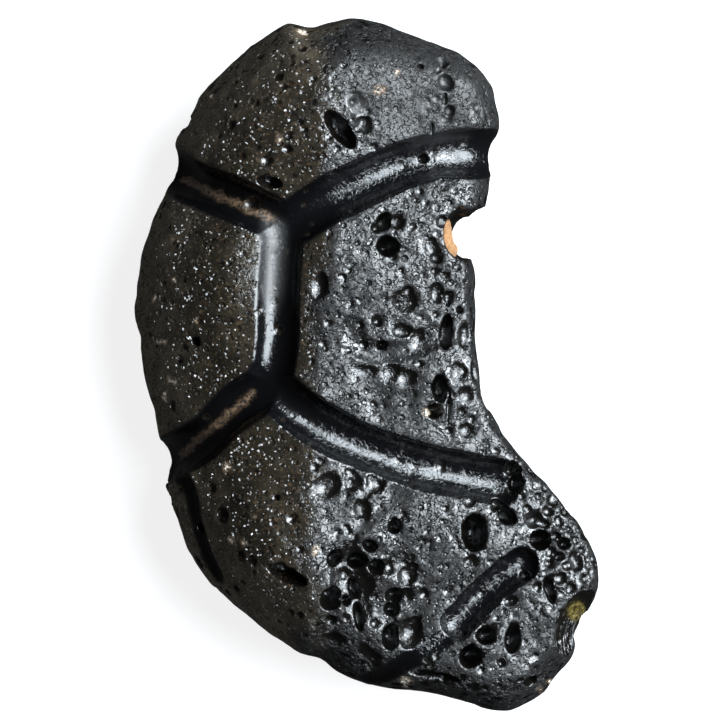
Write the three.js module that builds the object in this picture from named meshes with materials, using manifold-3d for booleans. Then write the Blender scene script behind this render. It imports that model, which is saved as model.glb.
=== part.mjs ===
// A tektite: a kidney-shaped lump of natural black glass, lying on its flatter side.
// Its upper face carries U-shaped grooves that part it into plates, and burst bubbles
// of many sizes. One large bubble broke through the right edge and holds hard clay.
// Millimetres, +Z up, origin at the middle of the underside.
import * as THREE from "three";
import { mergeVertices } from "three/addons/utils/BufferGeometryUtils.js";
import Module from "manifold-3d";

const wasm = await Module();
wasm.setup();

// ---- Driving dimensions ----

const CREST = 20.2; // height of the ridge that runs up the upper face
const RIDGE_X = -4.9; // where the ridge crosses Y = 0
const RIDGE_LEAN = 0.037; // how the ridge shifts towards +X, per millimetre of Y
const FALL_RIGHT = 0.13; // fall of the upper face to either side of the ridge, per millimetre
const FALL_LEFT = 0.09;
const FIT_GAP = 0.3; // left between the clay and the glass
const MIDDLE = new THREE.Vector2(-3.7, -1.8); // the outline is seen whole from here

// The outline from above, counter-clockwise from the top, without the burst bubble.
const OUTLINE = [
  [-1.8, 36.3], [-3.3, 36.0], [-5.6, 35.4], [-8.2, 35.8], [-10.9, 34.0],
  [-13.7, 31.6], [-16.5, 28.9], [-18.6, 25.9], [-19.6, 23.6], [-19.9, 20.4],
  [-21.1, 17.6], [-22.3, 15.5], [-23.6, 11.5], [-24.0, 7.6], [-24.2, 5.7],
  [-23.8, 2.3], [-23.2, -1.6], [-22.2, -5.2], [-21.5, -8.0], [-21.2, -9.9],
  [-21.7, -11.2], [-21.0, -13.6], [-19.4, -18.0], [-17.2, -21.7], [-14.3, -25.0],
  [-10.6, -28.1], [-6.9, -30.4], [-4.8, -30.9], [-2.7, -32.4], [-0.3, -33.6],
  [2.2, -34.2], [4.4, -34.4], [8.0, -34.9], [12.0, -36.0], [14.6, -36.3],
  [16.7, -35.5], [18.6, -34.3], [19.4, -33.1], [21.3, -31.1], [22.0, -29.7],
  [21.9, -28.4], [23.0, -26.2], [24.0, -24.4], [24.2, -21.8], [23.5, -19.2],
  [21.6, -16.0], [19.5, -13.2], [17.4, -11.0], [14.9, -8.2], [13.4, -5.6],
  [12.4, -3.4], [11.7, 0.9], [11.4, 6.6], [11.2, 9.6], [10.7, 11.6],
  [11.6, 13.9], [12.3, 16.6], [12.9, 19.7], [13.1, 22.5], [13.9, 24.4],
  [13.7, 27.4], [12.7, 30.1], [10.1, 32.3], [6.9, 33.8], [3.6, 34.9],
  [0.5, 35.9],
];

// Height of the widest line round the body, and widths of the rounded edges above and
// below it, by bearing from the middle in degrees from +X.
const RIM = [
  [0, 16.4], [45, 15], [75, 10.5], [120, 9], [180, 8], [240, 8.5], [300, 10.5], [335, 15.5],
];
const UPPER_EDGE = [
  [0, 1.3], [35, 1.4], [60, 3.4], [95, 6.5], [135, 12.5], [180, 15],
  [220, 13.5], [260, 8], [300, 3.4], [325, 2], [345, 1.4],
];
const LOWER_EDGE = [[0, 11], [60, 10], [135, 12], [180, 13], [260, 11], [325, 10]];
const UPPER_ROUNDNESS = 2;
const LOWER_ROUNDNESS = 1.65; // under 2, the edge slopes in more like a boat's hull

// Plates between the grooves swell a little: x, y, reach, height.
const SWELLS = [
  [-4.5, 26, 11, 1.0], [-15, 8, 8, 0.8], [0, 9, 10, 0.8], [6, 0, 7, 0.5], [-8, -17, 10, 0.9],
  [3, -16, 8, 0.8], [12, -18, 7, 0.8], [-6, -25, 7, 0.6], [12, -29, 6, 0.6], [18, -24, 5, 0.5],
];

// The worn face that it rests on, and how the underside curves away from it.
const REST = { x: -2.5, y: -1.5, reachX: 14, reachY: 21, dip: 0.5, rise: 1.6 };

// Grooves: opening width, depth, and the middle line from above.
const GROOVES = [
  {
    width: 4.4,
    depth: 1.8,
    line: [[-21.6, 20.9], [-19.7, 19.9], [-17.4, 18.4], [-13.2, 16.7], [-8.5, 14.4]],
  },
  {
    width: 4.8,
    depth: 2.0,
    line: [[-8.8, 13.6], [-4.8, 16.3], [-0.6, 18.4], [3.6, 20.3], [7.8, 21.5], [12.0, 21.7], [14.8, 21.6]],
  },
  {
    width: 4.4,
    depth: 1.9,
    line: [[-8.6, 14.4], [-9.0, 9.7], [-9.1, 6.6], [-9.2, 2.4], [-9.8, -1.3], [-10.9, -3.1]],
  },
  {
    width: 4.7,
    depth: 2.0,
    line: [[-9.9, -2.4], [-13.2, -4.3], [-15.3, -6.2], [-17.4, -8.2], [-20.3, -9.9], [-22.2, -10.6]],
  },
  {
    width: 4.6,
    depth: 1.9,
    line: [
      [-10.2, -1.8], [-6.9, -5.0], [-2.2, -7.8], [2.6, -9.7],
      [5.7, -10.7], [8.9, -11.4], [12.0, -12.0], [14.0, -12.4],
    ],
  },
  { width: 3.3, depth: 1.5, line: [[16.3, -20.9], [14.4, -22.2], [11.7, -24.7], [9.4, -27.1]] },
  { width: 2.2, depth: 0.6, line: [[8.0, -28.5], [5.2, -30.6], [2.6, -32.2], [0.4, -33.0]] },
  {
    width: 1.9,
    depth: 0.5,
    line: [[-20.0, -10.4], [-18.4, -13.4], [-17.9, -16.2], [-16.9, -19.4], [-15.6, -22.0]],
  },
  // bubbles in a row that burst into one curved scoop
  {
    width: 2.9,
    depth: 0.65,
    line: [[-1.4, 3.6], [-1.2, 2.5], [-0.4, 1.6], [1.1, 1.1], [2.7, 1.0], [4.4, 1.4], [7.0, 2.8]],
  },
];

// The larger burst bubbles: x, y, half-length, half-width, turn in degrees. A hole is
// deeper than it is wide, a bubble is a round hollow and a dish is a shallow one.
const HOLE_DEPTH = 2.8; // depths as shares of the half-width
const BUBBLE_DEPTH = 0.65;
const DISH_DEPTH = 0.4;
const HOLES = [
  [-2.6, 24.1, 2.39, 0.99, -51], [-10.0, 18.7, 1.35, 0.62, -12], [1.9, 14.6, 1.04, 0.78, 60],
  [2.3, 12.1, 1.14, 1.04, 0], [8.4, 3.2, 1.9, 0.66, 84], [7.7, -2.7, 1.46, 0.83, 95],
  [7.1, -5.0, 0.83, 0.78, 0], [15.7, -12.5, 1.04, 0.73, 80], [14.7, -15.9, 1.04, 0.83, -40],
  [11.3, -17.6, 1.98, 1.35, 90], [18.2, -18.4, 1.14, 1.04, 0], [-0.9, -20.5, 0.94, 0.83, 0],
  [1.1, -21.1, 0.88, 0.83, 0], [-3.6, -24.4, 1.25, 1.14, 60], [3.0, -24.1, 0.99, 0.83, 0],
  [-8.3, -22.0, 2.39, 0.83, -18], [2.6, -28.4, 1.35, 0.94, 85], [15.3, -28.7, 1.46, 0.83, 85],
  [12.5, -28.3, 1.04, 0.94, 0], [10.9, -30.5, 1.25, 1.14, 60], [7.0, -32.8, 2.81, 0.68, -8],
  [17.3, -33.3, 0.94, 0.73, -30], [19.1, -23.6, 1.5, 0.5, 106],
];
const BUBBLES = [
  [-0.2, 24.5, 1.04, 0.99, 0], [3.2, 14.6, 0.83, 0.83, 0], [-4.8, 8.0, 1.46, 0.88, 85],
  [7.3, 7.2, 1.25, 0.78, 85], [3.8, 3.3, 1.14, 0.83, 0], [10.4, 2.8, 1.45, 0.9, 85],
  [-0.3, -15.1, 1.14, 0.94, -70], [-14.9, -15.8, 0.94, 0.83, 90], [17.5, -16.3, 1.04, 0.94, 0],
  [22.0, -20.6, 1.04, 0.83, 80], [4.4, -21.8, 1.35, 1.14, 80], [4.7, -27.9, 1.66, 1.25, 80],
];
const DISHES = [
  [-0.9, 26.8, 1.66, 1.14, -50], [6.9, 11.7, 1.56, 0.83, -60], [4.0, 6.3, 1.35, 1.25, 0],
  [0.0, -0.9, 1.56, 0.83, -12], [2.7, -1.0, 1.1, 1.1, 0], [4.2, -1.5, 1.1, 1.0, 0],
  [9.6, -0.9, 1.35, 1.04, 90], [10.5, -3.4, 0.99, 0.94, 0], [-4.0, -12.8, 1.56, 1.25, 40],
  [1.1, -12.5, 1.14, 0.83, 40], [-1.4, -22.6, 4.37, 1.98, -75], [0.6, -30.4, 2.08, 0.83, -68],
];

// Shells chipped off the lower right edge: a point of the hollow face, the bearing and the
// slope in degrees that it looks along, and the radius that it is hollowed to.
const SPALLS = [
  { at: [20.3, -28.0, 15.2], bearing: -6, slope: 64, radius: 5.5 },
  { at: [19.6, -32.0, 15.0], bearing: -45, slope: 48, radius: 7 },
];

const LOWER_PITS = [
  [-15.0, 12.0, 2.2, 1.6, 60, 1.1], [-9.0, 24.0, 2.6, 1.5, 20, 1.0], [4.0, 25.5, 1.6, 1.4, 0, 1.1],
  [7.0, 13.0, 1.5, 1.2, 90, 0.9], [-17.0, -3.0, 1.5, 1.3, 0, 0.9], [-12.0, -19.0, 2.8, 1.5, -40, 1.1],
  [-2.0, -26.0, 1.8, 1.5, 0, 1.0], [9.0, -29.0, 2.4, 1.4, 15, 1.0], [16.0, -24.0, 1.5, 1.4, 0, 1.1],
];

// Burst bubbles in the side: bearing, half-length, half-width, depth.
const SIDE_PITS = [
  [72, 1.7, 1.3, 1.0], [118, 2.0, 1.4, 1.0], [168, 1.9, 1.3, 0.9], [214, 1.8, 1.4, 1.0],
  [243, 1.6, 1.3, 0.9], [280, 1.9, 1.3, 1.0], [352, 1.4, 1.1, 0.8],
];

// The big bubble that broke through the right edge, and a second one beside it.
const BREACH = { at: [10.1, 13.35, 17], half: [2.05, 2.65, 11] };
const BREACH_MOUTH = { at: [12.4, 13.9, 17], half: [2.7, 2.35, 12] };

// The clay lines the breach's inner wall: what a copy of the breach, moved, leaves of it.
const CLAY = { at: [8.1, 12.7, 13.2], half: [1.7, 2.4, 5.0] };
const CLAY_BARED = [1.1, 0.4, 0];

// ---- The body's form ----

const outline = new THREE.CatmullRomCurve3(
  OUTLINE.map(([x, y]) => new THREE.Vector3(x, y, 0)),
  true,
  "centripetal",
);
const edge = outline.getSpacedPoints(300).slice(0, -1);

/** Distance from a place to the outline, seen from above; 0 outside it. */
function inset(x, y) {
  let nearest = Infinity;
  let inside = false;
  edge.forEach((a, i) => {
    const b = edge[(i + 1) % edge.length];
    const [ux, uy] = [b.x - a.x, b.y - a.y];
    const along = ((x - a.x) * ux + (y - a.y) * uy) / (ux * ux + uy * uy);
    const t = THREE.MathUtils.clamp(along, 0, 1);
    nearest = Math.min(nearest, Math.hypot(x - a.x - t * ux, y - a.y - t * uy));
    if (a.y > y !== b.y > y && x < a.x + ((y - a.y) / uy) * ux) inside = !inside;
  });
  return inside ? nearest : 0;
}

/** A value given at a few bearings from the middle, eased between them. */
function byBearing(table, x, y) {
  const bearing = (THREE.MathUtils.radToDeg(Math.atan2(y - MIDDLE.y, x - MIDDLE.x)) + 360) % 360;
  const next = table.findIndex(([at]) => at > bearing);
  const [from, low] = table[(next < 0 ? table.length : next) - 1];
  const [to, high] = next < 0 ? [360, table[0][1]] : table[next];
  return low + (high - low) * THREE.MathUtils.smoothstep(bearing, from, to);
}

/** Height of a rounded edge: 0 at the outline, 1 past the edge's width. */
const rounded = (share, power) => (1 - (1 - Math.min(share, 1)) ** power) ** (1 / power);

function upperHeight(x, y) {
  const away = x - RIDGE_X - RIDGE_LEAN * y;
  let crest = CREST - (away > 0 ? FALL_RIGHT : -FALL_LEFT) * away;
  for (const [cx, cy, reach, height] of SWELLS)
    crest += height * Math.exp(-((x - cx) ** 2 + (y - cy) ** 2) / (reach * reach) * 2);
  const rim = byBearing(RIM, x, y);
  return rim + (crest - rim) * rounded(inset(x, y) / byBearing(UPPER_EDGE, x, y), UPPER_ROUNDNESS);
}

function lowerHeight(x, y) {
  const away = ((x - REST.x) / REST.reachX) ** 2 + ((y - REST.y) / REST.reachY) ** 2;
  const fall = 1 - rounded(inset(x, y) / byBearing(LOWER_EDGE, x, y), LOWER_ROUNDNESS);
  return Math.max(0, byBearing(RIM, x, y) * fall + (1 - fall) * (REST.rise * away - REST.dip));
}

// ---- Meshes and solids ----

/** Joins two closed rings of points that may differ in number. */
function stitch(faces, outer, inner, upwards) {
  let [i, j] = [0, 0];
  while (i < outer.length || j < inner.length) {
    const stepOuter = j >= inner.length || (i < outer.length && i / outer.length <= j / inner.length);
    const [a, b] = [outer[i % outer.length], inner[j % inner.length]];
    const c = stepOuter ? outer[(i + 1) % outer.length] : inner[(j + 1) % inner.length];
    faces.push(...(upwards ? [a, c, b] : [a, b, c]));
    if (stepOuter) i += 1;
    else j += 1;
  }
}

/** Adds one face of the body as rings that shrink from the shared edge to the middle. */
function addFace(points, faces, rim, heightOf, { rings, spacing, upwards }) {
  let outer = rim;
  for (let k = 1; k < rings; k += 1) {
    const size = Math.cos((Math.PI / 2) * (k / rings) ** 1.15);
    const count = Math.max(8, Math.round((outline.getLength() * size) / spacing));
    const inner = Array.from({ length: count }, (_, i) => {
      const p = outline.getPointAt(i / count);
      const x = MIDDLE.x + (p.x - MIDDLE.x) * size;
      const y = MIDDLE.y + (p.y - MIDDLE.y) * size;
      return points.push([x, y, heightOf(x, y)]) - 1;
    });
    stitch(faces, outer, inner, upwards);
    outer = inner;
  }
  const tip = points.push([MIDDLE.x, MIDDLE.y, heightOf(MIDDLE.x, MIDDLE.y)]) - 1;
  outer.forEach((a, i) => {
    const b = outer[(i + 1) % outer.length];
    faces.push(...(upwards ? [a, b, tip] : [b, a, tip]));
  });
}

function bodyGeometry() {
  const points = [];
  const faces = [];
  const rimCount = 120;
  const rim = Array.from({ length: rimCount }, (_, i) => {
    const p = outline.getPointAt(i / rimCount);
    return points.push([p.x, p.y, byBearing(RIM, p.x, p.y)]) - 1;
  });
  addFace(points, faces, rim, upperHeight, { rings: 16, spacing: 2.35, upwards: true });
  addFace(points, faces, rim, lowerHeight, { rings: 8, spacing: 3.6, upwards: false });
  const geometry = new THREE.BufferGeometry();
  geometry.setAttribute("position", new THREE.Float32BufferAttribute(points.flat(), 3));
  geometry.setIndex(faces);
  return geometry;
}

function solidOf(geometry) {
  const bare = geometry.clone();
  bare.deleteAttribute("normal");
  bare.deleteAttribute("uv");
  const merged = mergeVertices(bare, 1e-4);
  const vertProperties = merged.attributes.position.array;
  const triVerts = new Uint32Array(merged.index.array);
  return new wasm.Manifold(new wasm.Mesh({ numProp: 3, vertProperties, triVerts }));
}

function geometryOf(solid) {
  const mesh = solid.getMesh();
  const geometry = new THREE.BufferGeometry();
  geometry.setAttribute("position", new THREE.BufferAttribute(mesh.vertProperties, 3));
  geometry.setIndex(new THREE.BufferAttribute(mesh.triVerts, 1));
  return geometry;
}

function ellipsoid(halfX, halfY, halfZ, detail) {
  const ball = detail ? new THREE.IcosahedronGeometry(1, detail) : new THREE.OctahedronGeometry(1, 1);
  return ball.scale(halfX, halfY, halfZ);
}

/** An upright ellipsoid, made smaller all round by a gap. */
function upright({ at, half }, gap, detail) {
  const geometry = ellipsoid(...half.map((size) => size - gap), detail);
  return solidOf(geometry.translate(...at));
}

/** A place on the upper (outward 1) or lower (outward -1) face, and the way out of it. */
function seatOn(heightOf, outward, x, y) {
  const step = 0.4;
  const slopeX = (heightOf(x + step, y) - heightOf(x - step, y)) / (2 * step);
  const slopeY = (heightOf(x, y + step) - heightOf(x, y - step)) / (2 * step);
  const normal = new THREE.Vector3(-slopeX, -slopeY, 1).multiplyScalar(outward).normalize();
  return { point: new THREE.Vector3(x, y, heightOf(x, y)), normal };
}

/** A place on the widest line of the body, at a bearing from the middle. */
function seatAtRim(bearing) {
  const angle = THREE.MathUtils.degToRad(bearing);
  const way = new THREE.Vector2(Math.cos(angle), Math.sin(angle));
  const cosTo = (p) => {
    const from = new THREE.Vector2(p.x, p.y).sub(MIDDLE);
    return from.dot(way) / from.length();
  };
  const i = edge.reduce((best, p, k) => (cosTo(p) > cosTo(edge[best]) ? k : best), 0);
  const tangent = edge[(i + 1) % edge.length].clone().sub(edge[i]);
  const normal = new THREE.Vector3(tangent.y, -tangent.x, 0).normalize();
  const height = byBearing(RIM, edge[i].x, edge[i].y);
  return { point: new THREE.Vector3(edge[i].x, edge[i].y, height), normal };
}

/** A round-bottomed pit with the given opening and depth: an ellipsoid over its seat. */
function pit(seat, along, across, turn, depth) {
  const lift = (across ** 2 - depth ** 2) / (across ** 2 + depth ** 2);
  const mouth = Math.sqrt(1 - lift * lift);
  const halfDepth = depth / (1 - lift);
  const detail = across > 2 ? 2 : across > 1 ? 1 : 0;
  const angle = THREE.MathUtils.degToRad(turn);
  const axisX = new THREE.Vector3(Math.cos(angle), Math.sin(angle), 0).projectOnPlane(seat.normal);
  if (axisX.length() < 0.1) axisX.set(0, 0, 1);
  axisX.normalize();
  const axisY = seat.normal.clone().cross(axisX);
  const centre = seat.point.clone().addScaledVector(seat.normal, lift * halfDepth);
  const place = new THREE.Matrix4().makeBasis(axisX, axisY, seat.normal).setPosition(centre);
  return solidOf(ellipsoid(along / mouth, across / mouth, halfDepth, detail).applyMatrix4(place));
}

/** A ball that leaves the hollow face of a spall. */
function spall({ at, bearing, slope, radius }) {
  const level = THREE.MathUtils.degToRad(bearing);
  const steep = THREE.MathUtils.degToRad(slope);
  const outward = new THREE.Vector3(Math.cos(level), Math.sin(level), 0)
    .multiplyScalar(Math.sin(steep))
    .setZ(Math.cos(steep));
  const centre = new THREE.Vector3(...at).addScaledVector(outward, radius);
  return solidOf(ellipsoid(radius, radius, radius, 2).translate(centre.x, centre.y, centre.z));
}

/** A groove as round bars laid along its line, sunk to its depth, with round ends. */
function groove({ width, depth, line }) {
  const radius = ((width / 2) ** 2 + depth ** 2) / (2 * depth);
  const middle = line.map(([x, y]) => {
    const { point, normal } = seatOn(upperHeight, 1, x, y);
    return point.addScaledVector(normal, radius - depth);
  });
  const path = new THREE.CatmullRomCurve3(middle, false, "centripetal");
  const section = new THREE.Shape();
  section.absarc(0, 0, radius, 0, 2 * Math.PI);
  const sides = width > 3 ? 10 : 6;
  const steps = Math.round(path.getLength() / 2.6);
  const options = { steps, extrudePath: path, bevelEnabled: false, curveSegments: sides / 2 };
  const bar = solidOf(new THREE.ExtrudeGeometry(section, options));
  const ends = [middle[0], middle[middle.length - 1]].map((p) =>
    solidOf(ellipsoid(radius, radius, radius, 1).translate(p.x, p.y, p.z)),
  );
  return [bar, ...ends];
}

// ---- The two pieces ----

function tektiteSolid() {
  const cutters = GROOVES.flatMap(groove);
  const kinds = [[HOLES, HOLE_DEPTH], [BUBBLES, BUBBLE_DEPTH], [DISHES, DISH_DEPTH]];
  const burst = kinds.flatMap(([rows, share]) => rows.map((row) => [...row, row[3] * share]));
  for (const [x, y, ...form] of burst) cutters.push(pit(seatOn(upperHeight, 1, x, y), ...form));
  for (const [x, y, ...form] of LOWER_PITS)
    cutters.push(pit(seatOn(lowerHeight, -1, x, y), ...form));
  for (const [bearing, along, across, depth] of SIDE_PITS)
    cutters.push(pit(seatAtRim(bearing), along, across, bearing + 90, depth));
  cutters.push(...SPALLS.map(spall), upright(BREACH, 0, 2), upright(BREACH_MOUTH, 0, 2));
  return cutters.reduce((solid, cutter) => solid.subtract(cutter), solidOf(bodyGeometry()));
}

/** Hard clay on the wall of the breached bubble, just clear of the glass. */
function claySolid() {
  const bared = upright(BREACH, 0, 2).translate(CLAY_BARED);
  return upright(CLAY, 0, 1).intersect(upright(BREACH, FIT_GAP, 2)).subtract(bared);
}

function piece(name, solid, look) {
  const mesh = new THREE.Mesh(geometryOf(solid), new THREE.MeshStandardMaterial(look));
  mesh.name = name;
  return mesh;
}

const tektite = new THREE.Group();
tektite.add(
  piece("tektite", tektiteSolid(), { color: 0x2a2926, roughness: 0.42, metalness: 0 }),
  piece("clay_infill", claySolid(), { color: 0xc99a66, roughness: 0.9, metalness: 0 }),
);

export default tektite;
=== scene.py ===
"""A tektite, dressed: a kidney-shaped lump of pitted black glass that lies on its flatter side.

The stone is worked out as a distance field in millimetres, on a grid of cubes: the body's
rounded form, its rough skin, the grooves and the burst bubbles that are cut from it. One mesh
is drawn through the field's zero. The same named values as the CAD model's give its main forms.
"""
import math

import bpy
import numpy as np
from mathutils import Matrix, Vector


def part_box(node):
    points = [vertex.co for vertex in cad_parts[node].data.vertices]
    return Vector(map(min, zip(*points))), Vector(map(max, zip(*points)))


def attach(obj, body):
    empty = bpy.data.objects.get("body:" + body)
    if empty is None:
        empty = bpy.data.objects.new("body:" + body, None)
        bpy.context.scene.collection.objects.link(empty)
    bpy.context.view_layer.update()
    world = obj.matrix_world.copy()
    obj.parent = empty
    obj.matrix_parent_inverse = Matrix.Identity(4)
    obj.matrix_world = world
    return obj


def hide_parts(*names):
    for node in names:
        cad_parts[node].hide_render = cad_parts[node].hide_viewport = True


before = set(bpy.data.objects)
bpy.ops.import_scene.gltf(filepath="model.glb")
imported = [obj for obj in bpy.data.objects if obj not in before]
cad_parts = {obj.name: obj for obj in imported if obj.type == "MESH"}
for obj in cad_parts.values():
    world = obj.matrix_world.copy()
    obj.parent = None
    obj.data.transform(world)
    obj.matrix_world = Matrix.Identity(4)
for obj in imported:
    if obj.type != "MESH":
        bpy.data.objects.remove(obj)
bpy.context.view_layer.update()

MM = 0.001
STEP = 0.2  # grid spacing, mm
GRID_MARGIN = 1.2  # how far the grid goes past the CAD model, mm
FAR = 9  # a field's value away from what it measures, mm
SEED = 20
UNDER_TOP = 8  # below this height in mm the mesh is coarser
UNDER_THINNING = 0.8  # the share of the faces there that goes
MOST_TRIANGLES = 196000

# ---- The body, as in the CAD model, in mm ----

CREST = 20.2
RIDGE_X = -4.9
RIDGE_LEAN = 0.037
FALL_RIGHT = 0.13
FALL_LEFT = 0.09
MIDDLE = (-3.7, -1.8)

OUTLINE = [
    (-1.8, 36.3), (-3.3, 36), (-5.6, 35.4), (-8.2, 35.8), (-10.9, 34),
    (-13.7, 31.6), (-16.5, 28.9), (-18.6, 25.9), (-19.6, 23.6), (-19.9, 20.4),
    (-21.1, 17.6), (-22.3, 15.5), (-23.6, 11.5), (-24, 7.6), (-24.2, 5.7),
    (-23.8, 2.3), (-23.2, -1.6), (-22.2, -5.2), (-21.5, -8), (-21.2, -9.9),
    (-21.7, -11.2), (-21, -13.6), (-19.4, -18), (-17.2, -21.7), (-14.3, -25),
    (-10.6, -28.1), (-6.9, -30.4), (-4.8, -30.9), (-2.7, -32.4), (-0.3, -33.6),
    (2.2, -34.2), (4.4, -34.4), (8, -34.9), (12, -36), (14.6, -36.3),
    (16.7, -35.5), (18.6, -34.3), (19.4, -33.1), (21.3, -31.1), (22, -29.7),
    (21.9, -28.4), (23, -26.2), (24, -24.4), (24.2, -21.8), (23.5, -19.2),
    (21.6, -16), (19.5, -13.2), (17.4, -11), (14.9, -8.2), (13.4, -5.6),
    (12.4, -3.4), (11.7, 0.9), (11.4, 6.6), (11.2, 9.6), (10.7, 11.6),
    (11.6, 13.9), (12.3, 16.6), (12.9, 19.7), (13.1, 22.5), (13.9, 24.4),
    (13.7, 27.4), (12.7, 30.1), (10.1, 32.3), (6.9, 33.8), (3.6, 34.9),
    (0.5, 35.9),
]

# Height of the widest line, and widths of the rounded edges above and below it, by bearing
# from the middle in degrees from +X.
RIM = [(0, 16.4), (45, 15), (75, 10.5), (120, 9), (180, 8), (240, 8.5), (300, 10.5), (335, 15.5)]
UPPER_EDGE = [
    (0, 1.3), (35, 1.4), (60, 3.4), (95, 6.5), (135, 12.5), (180, 15),
    (220, 13.5), (260, 8), (300, 3.4), (325, 2), (345, 1.4),
]
LOWER_EDGE = [(0, 11), (60, 10), (135, 12), (180, 13), (260, 11), (325, 10)]
UPPER_ROUNDNESS = 2
LOWER_ROUNDNESS = 1.65
BELLY_DROP = 3  # the belly stays at least this far below the widest line

# Swellings of the upper face: x, y, reach, height.
SWELLS = [
    (-4.5, 26, 11, 1), (-15, 8, 8, 0.8), (0, 9, 10, 0.8), (6, 0, 7, 0.5), (-8, -17, 10, 0.9),
    (3, -16, 8, 0.8), (12, -18, 7, 0.8), (-6, -25, 7, 0.6), (12, -29, 6, 0.6), (18, -24, 5, 0.5),
]
REST = {"x": -2.5, "y": -1.5, "reach_x": 14, "reach_y": 21, "dip": 0.5, "rise": 1.6}

# Grooves: opening width, depth, middle line.
GROOVES = [
    (4.4, 1.8, [(-21.6, 20.9), (-19.7, 19.9), (-17.4, 18.4), (-13.2, 16.7), (-8.5, 14.4)]),
    (4.8, 2, [
        (-8.8, 13.6), (-4.8, 16.3), (-0.6, 18.4), (3.6, 20.3), (7.8, 21.5), (12, 21.7), (14.8, 21.6),
    ]),
    (4.4, 1.9, [(-8.6, 14.4), (-9, 9.7), (-9.1, 6.6), (-9.2, 2.4), (-9.8, -1.3), (-10.9, -3.1)]),
    (4.7, 2, [
        (-9.9, -2.4), (-13.2, -4.3), (-15.3, -6.2), (-17.4, -8.2), (-20.3, -9.9), (-22.2, -10.6),
    ]),
    (4.6, 1.9, [
        (-10.2, -1.8), (-6.9, -5), (-2.2, -7.8), (2.6, -9.7),
        (5.7, -10.7), (8.9, -11.4), (12, -12), (14, -12.4),
    ]),
    (3.3, 1.5, [(16.3, -20.9), (14.4, -22.2), (11.7, -24.7), (9.4, -27.1)]),
    (2.2, 0.6, [(8, -28.5), (5.2, -30.6), (2.6, -32.2), (0.4, -33)]),
    (1.9, 0.5, [(-20, -10.4), (-18.4, -13.4), (-17.9, -16.2), (-16.9, -19.4), (-15.6, -22)]),
]

# A row of bubbles that burst into one curved scoop: opening width, depth, middle line.
SCOOPS = [
    (2.9, 0.65, [(-1.4, 3.6), (-1.2, 2.5), (-0.4, 1.6), (1.1, 1.1), (2.7, 1), (4.4, 1.4), (7, 2.8)]),
]

# Valleys, too shallow to count as grooves: opening width, depth, middle line.
VALLEYS = [(9, 0.55, [(-9.2, 12.8), (-9.5, 9), (-9.7, 5), (-10, 0.6)])]

# Burst bubbles of the upper face: x, y, half-length, half-width, turn in degrees, or x, y and
# radius for a round one. A hole is deeper than it is wide, and a dish is a shallow bubble.
HOLE_DEPTH = 2.8
BUBBLE_DEPTH = 0.65
DISH_DEPTH = 0.4
HOLES = [
    (-2.6, 24.1, 2.39, 0.99, -51), (-10, 18.7, 1.35, 0.62, -12), (8.7, 26.1, 0.26),
    (6.3, 21.2, 0.52, 0.47, 0), (5.7, 30.8, 0.42, 0.31, 0), (8.1, 31.1, 0.68, 0.31, 80),
    (8.1, 29.4, 0.83, 0.23, 92), (8.2, 27.3, 0.78, 0.18, 88), (6.9, 24.2, 0.83, 0.17, 85),
    (1.9, 14.6, 1.04, 0.78, 60), (1.1, 13.9, 0.52, 0.42, 0), (2.3, 12.1, 1.14, 1.04, 0),
    (8.6, 6.6, 0.83, 0.31, 88), (9.8, 5.5, 0.36), (1.7, 1.8, 0.57, 0.52, 0),
    (8.4, 3.2, 1.9, 0.66, 84), (7.7, -2.7, 1.46, 0.83, 95), (7.1, -5, 0.83, 0.78, 0),
    (8.6, -4.6, 2.08, 0.21, 88), (3, -17, 0.73, 0.68, 0), (11.3, -17.6, 1.98, 1.35, 90),
    (-3.2, -20.2, 0.94, 0.73, 60), (-0.9, -20.5, 0.94, 0.83, 0), (0.4, -18.9, 0.83, 0.62, -30),
    (-3.6, -24.4, 1.25, 1.14, 60), (-1.9, -24.6, 0.52), (-1.1, -23.3, 1.04, 0.52, -75),
    (-0.7, -26.3, 1.56, 0.47, -82), (1.1, -21.1, 0.88, 0.83, 0), (3, -24.1, 0.99, 0.83, 0),
    (2.7, -25.5, 0.83, 0.78, 0), (2.6, -28.4, 1.35, 0.94, 85), (7, -32.8, 2.81, 0.68, -8),
    (-8.3, -22, 2.39, 0.83, -18), (-17.5, -17.4, 0.73, 0.62, 0), (-9.2, -13.9, 0.31),
    (-17.7, 2.2, 0.52), (15.5, -10.9, 0.83, 0.73, 0), (15.7, -12.5, 1.04, 0.73, 80),
    (13.9, -14.6, 0.94, 0.73, -30), (14.7, -15.9, 1.04, 0.83, -40), (18.2, -18.4, 1.14, 1.04, 0),
    (20.6, -18.8, 0.73, 0.62, 0), (20.1, -20.1, 0.42), (16.7, -22.1, 0.73, 0.52, 20),
    (15.3, -28.7, 1.46, 0.83, 85), (12.5, -28.3, 1.04, 0.94, 0), (10.9, -30.5, 1.25, 1.14, 60),
    (17.3, -33.3, 0.94, 0.73, -30), (19.1, -23.6, 1.5, 0.5, 106),
]

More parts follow.
